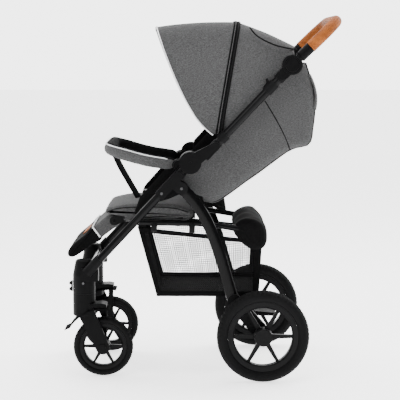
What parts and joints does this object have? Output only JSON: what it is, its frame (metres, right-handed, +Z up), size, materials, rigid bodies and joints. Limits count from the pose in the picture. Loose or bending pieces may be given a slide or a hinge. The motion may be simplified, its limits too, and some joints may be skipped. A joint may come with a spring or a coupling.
{
  "type": "pushchair",
  "caption": "Folding all-terrain pushchair with swivelling front wheels, reclining grey seat, folding canopy, padded bumper bar, mesh basket and tilting handle.",
  "frame": {"origin": "on the floor, under the centre of the whole pushchair's bounding box", "axes": "+Z up, -X the way the child faces and the pushchair rolls, -Y the child's left-hand side when seated facing -X"},
  "size_m": [0.843, 0.588, 1.102],
  "materials": {
    "frame_black": "satin black paint",
    "plastic_black": "fine-grained black",
    "wheel_black": "black moulded rim",
    "tyre_black": "matt black foam rubber",
    "steel": "zinc-plated",
    "leather_brown": "tan imitation leather",
    "cloth_grey": "flecked grey weave",
    "cloth_black": "plain black weave",
    "mesh_black": "open black netting with bound edges",
    "board_black": "black panel",
    "rib_plastic": "black nylon",
    "button_red": "red"
  },
  "bodies": {
    "lower_frame": {"lower_tube_left": "frame_black", "lower_tube_right": "frame_black", "front_housings": "plastic_black", "hinge_housings": "plastic_black", "seat_rail": "frame_black", "front_crossbar": "frame_black", "seat_board": "board_black", "seat_cushion": "cloth_grey", "basket": "mesh_black", "basket_pouch": "cloth_black", "frame_bolts": "steel", "harness_buckle": "plastic_black", "waist_straps": "cloth_black"},
    "buckle_button": {"buckle_button": "button_red"},
    "rear_frame": {"rear_legs": "frame_black", "rear_axle_beam": "frame_black", "rear_brackets": "plastic_black", "rear_axle_pins": "steel"},
    "brake_pedal": {"brake_pedal": "plastic_black"},
    "upper_frame": {"upper_tube_left": "frame_black", "upper_tube_right": "frame_black", "hinge_knuckles": "plastic_black", "handle_knuckles": "plastic_black", "canopy_clips": "plastic_black", "canopy_hubs": "plastic_black"},
    "handle": {"handle_bar": "frame_black", "handle_grip": "leather_brown"},
    "canopy_mid": {"canopy_mid_bow": "rib_plastic", "canopy_rear_fabric": "cloth_grey"},
    "canopy_front": {"canopy_front_bow": "rib_plastic", "canopy_front_fabric": "cloth_grey"},
    "backrest": {"backrest_board": "board_black", "backrest_cushion": "cloth_grey", "shoulder_straps": "cloth_black", "back_cover": "cloth_grey"},
    "bumper": {"bumper_bar": "cloth_grey", "crotch_strap": "cloth_black"},
    "leg_rest": {"leg_rest": "cloth_grey"},
    "front_caster_left": {"front_fork_left": "plastic_black", "fender_left": "plastic_black"},
    "front_wheel_left": {"front_tyre_left": "tyre_black", "front_rim_left": "wheel_black"},
    "rear_wheel_left": {"rear_tyre_left": "tyre_black", "rear_rim_left": "wheel_black", "rear_hub_fittings_left": "wheel_black"},
    "swivel_lock_left": {"swivel_lock_left": "plastic_black"},
    "brake_pin_left": {"brake_pin_left": "steel"},
    "handle_button_left": {"handle_button_left": "plastic_black"},
    "fold_slider_left": {"fold_slider_left": "plastic_black"},
    "front_caster_right": {"front_fork_right": "plastic_black", "fender_right": "plastic_black"},
    "front_wheel_right": {"front_tyre_right": "tyre_black", "front_rim_right": "wheel_black"},
    "rear_wheel_right": {"rear_tyre_right": "tyre_black", "rear_rim_right": "wheel_black", "rear_hub_fittings_right": "wheel_black"},
    "swivel_lock_right": {"swivel_lock_right": "plastic_black"},
    "brake_pin_right": {"brake_pin_right": "steel"},
    "handle_button_right": {"handle_button_right": "plastic_black"},
    "fold_slider_right": {"fold_slider_right": "plastic_black"}
  },
  "joints": [
    {"name": "frame_fold", "type": "hinge", "parent": "lower_frame", "child": "upper_frame", "pos_m": [-0.0365, 0, 0.662], "axis": [0, -1, 0], "range_deg": [0, 140]},
    {"name": "rear_leg_fold", "type": "hinge", "parent": "lower_frame", "child": "rear_frame", "pos_m": [-0.0621, 0, 0.5847], "axis": [0, 1, 0], "range_deg": [0, 42]},
    {"name": "canopy_swing", "type": "hinge", "parent": "upper_frame", "child": "canopy_mid", "pos_m": [0.0435, 0, 0.757], "axis": [0, 1, 0], "range_deg": [0, 75], "deforming": ["canopy_rear_fabric"]},
    {"name": "canopy_open", "type": "hinge", "parent": "canopy_mid", "child": "canopy_front", "pos_m": [0.0435, 0, 0.757], "axis": [0, -1, 0], "range_deg": [-38, 0], "deforming": ["canopy_front_fabric"]},
    {"name": "backrest_recline", "type": "hinge", "parent": "upper_frame", "child": "backrest", "pos_m": [-0.0025, 0, 0.516], "axis": [0, 1, 0], "range_deg": [-20, 15], "deforming": ["back_cover"]},
    {"name": "leg_rest_lift", "type": "hinge", "parent": "lower_frame", "child": "leg_rest", "pos_m": [-0.2695, 0, 0.479], "axis": [0, -1, 0], "range_deg": [-38, 0]},
    {"name": "bumper_tilt", "type": "hinge", "parent": "lower_frame", "child": "bumper", "pos_m": [-0.0725, 0, 0.652], "axis": [0, -1, 0], "range_deg": [0, 24], "deforming": ["crotch_strap"]},
    {"name": "handle_tilt", "type": "hinge", "parent": "upper_frame", "child": "handle", "pos_m": [0.2695, 0, 0.955], "axis": [0, -1, 0], "range_deg": [-75, 45]},
    {"name": "buckle_press", "type": "slide", "parent": "lower_frame", "child": "buckle_button", "axis": [0, 0, -1], "range_m": [0, 0.0025], "stiffness_N_per_m": 200},
    {"name": "brake_press", "type": "hinge", "parent": "rear_frame", "child": "brake_pedal", "pos_m": [0.1535, 0, 0.17], "axis": [0, 1, 0], "range_deg": [0, 18]},
    {"name": "front_swivel_left", "type": "hinge", "parent": "lower_frame", "child": "front_caster_left", "pos_m": [-0.3625, -0.18, 0.258], "axis": [0, 0, 1], "continuous": true},
    {"name": "front_spin_left", "type": "hinge", "parent": "front_caster_left", "child": "front_wheel_left", "pos_m": [-0.3045, -0.18, 0.092], "axis": [0, 1, 0], "continuous": true},
    {"name": "rear_spin_left", "type": "hinge", "parent": "rear_frame", "child": "rear_wheel_left", "pos_m": [0.1835, -0.267, 0.14], "axis": [0, 1, 0], "continuous": true},
    {"name": "swivel_lock_slide_left", "type": "slide", "parent": "lower_frame", "child": "swivel_lock_left", "axis": [0, 0, -1], "range_m": [0, 0.008]},
    {"name": "brake_pin_slide_left", "type": "slide", "parent": "rear_frame", "child": "brake_pin_left", "axis": [0, -1, 0], "range_m": [0, 0.006]},
    {"name": "handle_button_press_left", "type": "slide", "parent": "upper_frame", "child": "handle_button_left", "axis": [0, 1, 0], "range_m": [0, 0.004], "stiffness_N_per_m": 300},
    {"name": "fold_slider_pull_left", "type": "slide", "parent": "upper_frame", "child": "fold_slider_left", "axis": [0.6884, 0, 0.7254], "range_m": [0, 0.012], "stiffness_N_per_m": 300},
    {"name": "front_swivel_right", "type": "hinge", "parent": "lower_frame", "child": "front_caster_right", "pos_m": [-0.3625, 0.18, 0.258], "axis": [0, 0, 1], "continuous": true},
    {"name": "front_spin_right", "type": "hinge", "parent": "front_caster_right", "child": "front_wheel_right", "pos_m": [-0.3045, 0.18, 0.092], "axis": [0, 1, 0], "continuous": true},
    {"name": "rear_spin_right", "type": "hinge", "parent": "rear_frame", "child": "rear_wheel_right", "pos_m": [0.1835, 0.267, 0.14], "axis": [0, 1, 0], "continuous": true},
    {"name": "swivel_lock_slide_right", "type": "slide", "parent": "lower_frame", "child": "swivel_lock_right", "axis": [0, 0, -1], "range_m": [0, 0.008]},
    {"name": "brake_pin_slide_right", "type": "slide", "parent": "rear_frame", "child": "brake_pin_right", "axis": [0, 1, 0], "range_m": [0, 0.006]},
    {"name": "handle_button_press_right", "type": "slide", "parent": "upper_frame", "child": "handle_button_right", "axis": [0, -1, 0], "range_m": [0, 0.004], "stiffness_N_per_m": 300},
    {"name": "fold_slider_pull_right", "type": "slide", "parent": "upper_frame", "child": "fold_slider_right", "axis": [0.6884, 0, 0.7254], "range_m": [0, 0.012], "stiffness_N_per_m": 300}
  ],
  "couplings": [
    {"joint": "rear_leg_fold", "follows": "frame_fold", "ratio": 0.3},
    {"joint": "canopy_swing", "follows": "frame_fold", "ratio": 0.53571},
    {"joint": "bumper_tilt", "follows": "frame_fold", "ratio": 0.17143},
    {"joint": "brake_pin_slide_left", "follows": "brake_press", "m_per_rad": 0.019098},
    {"joint": "brake_pin_slide_right", "follows": "brake_press", "m_per_rad": 0.019098}
  ]
}
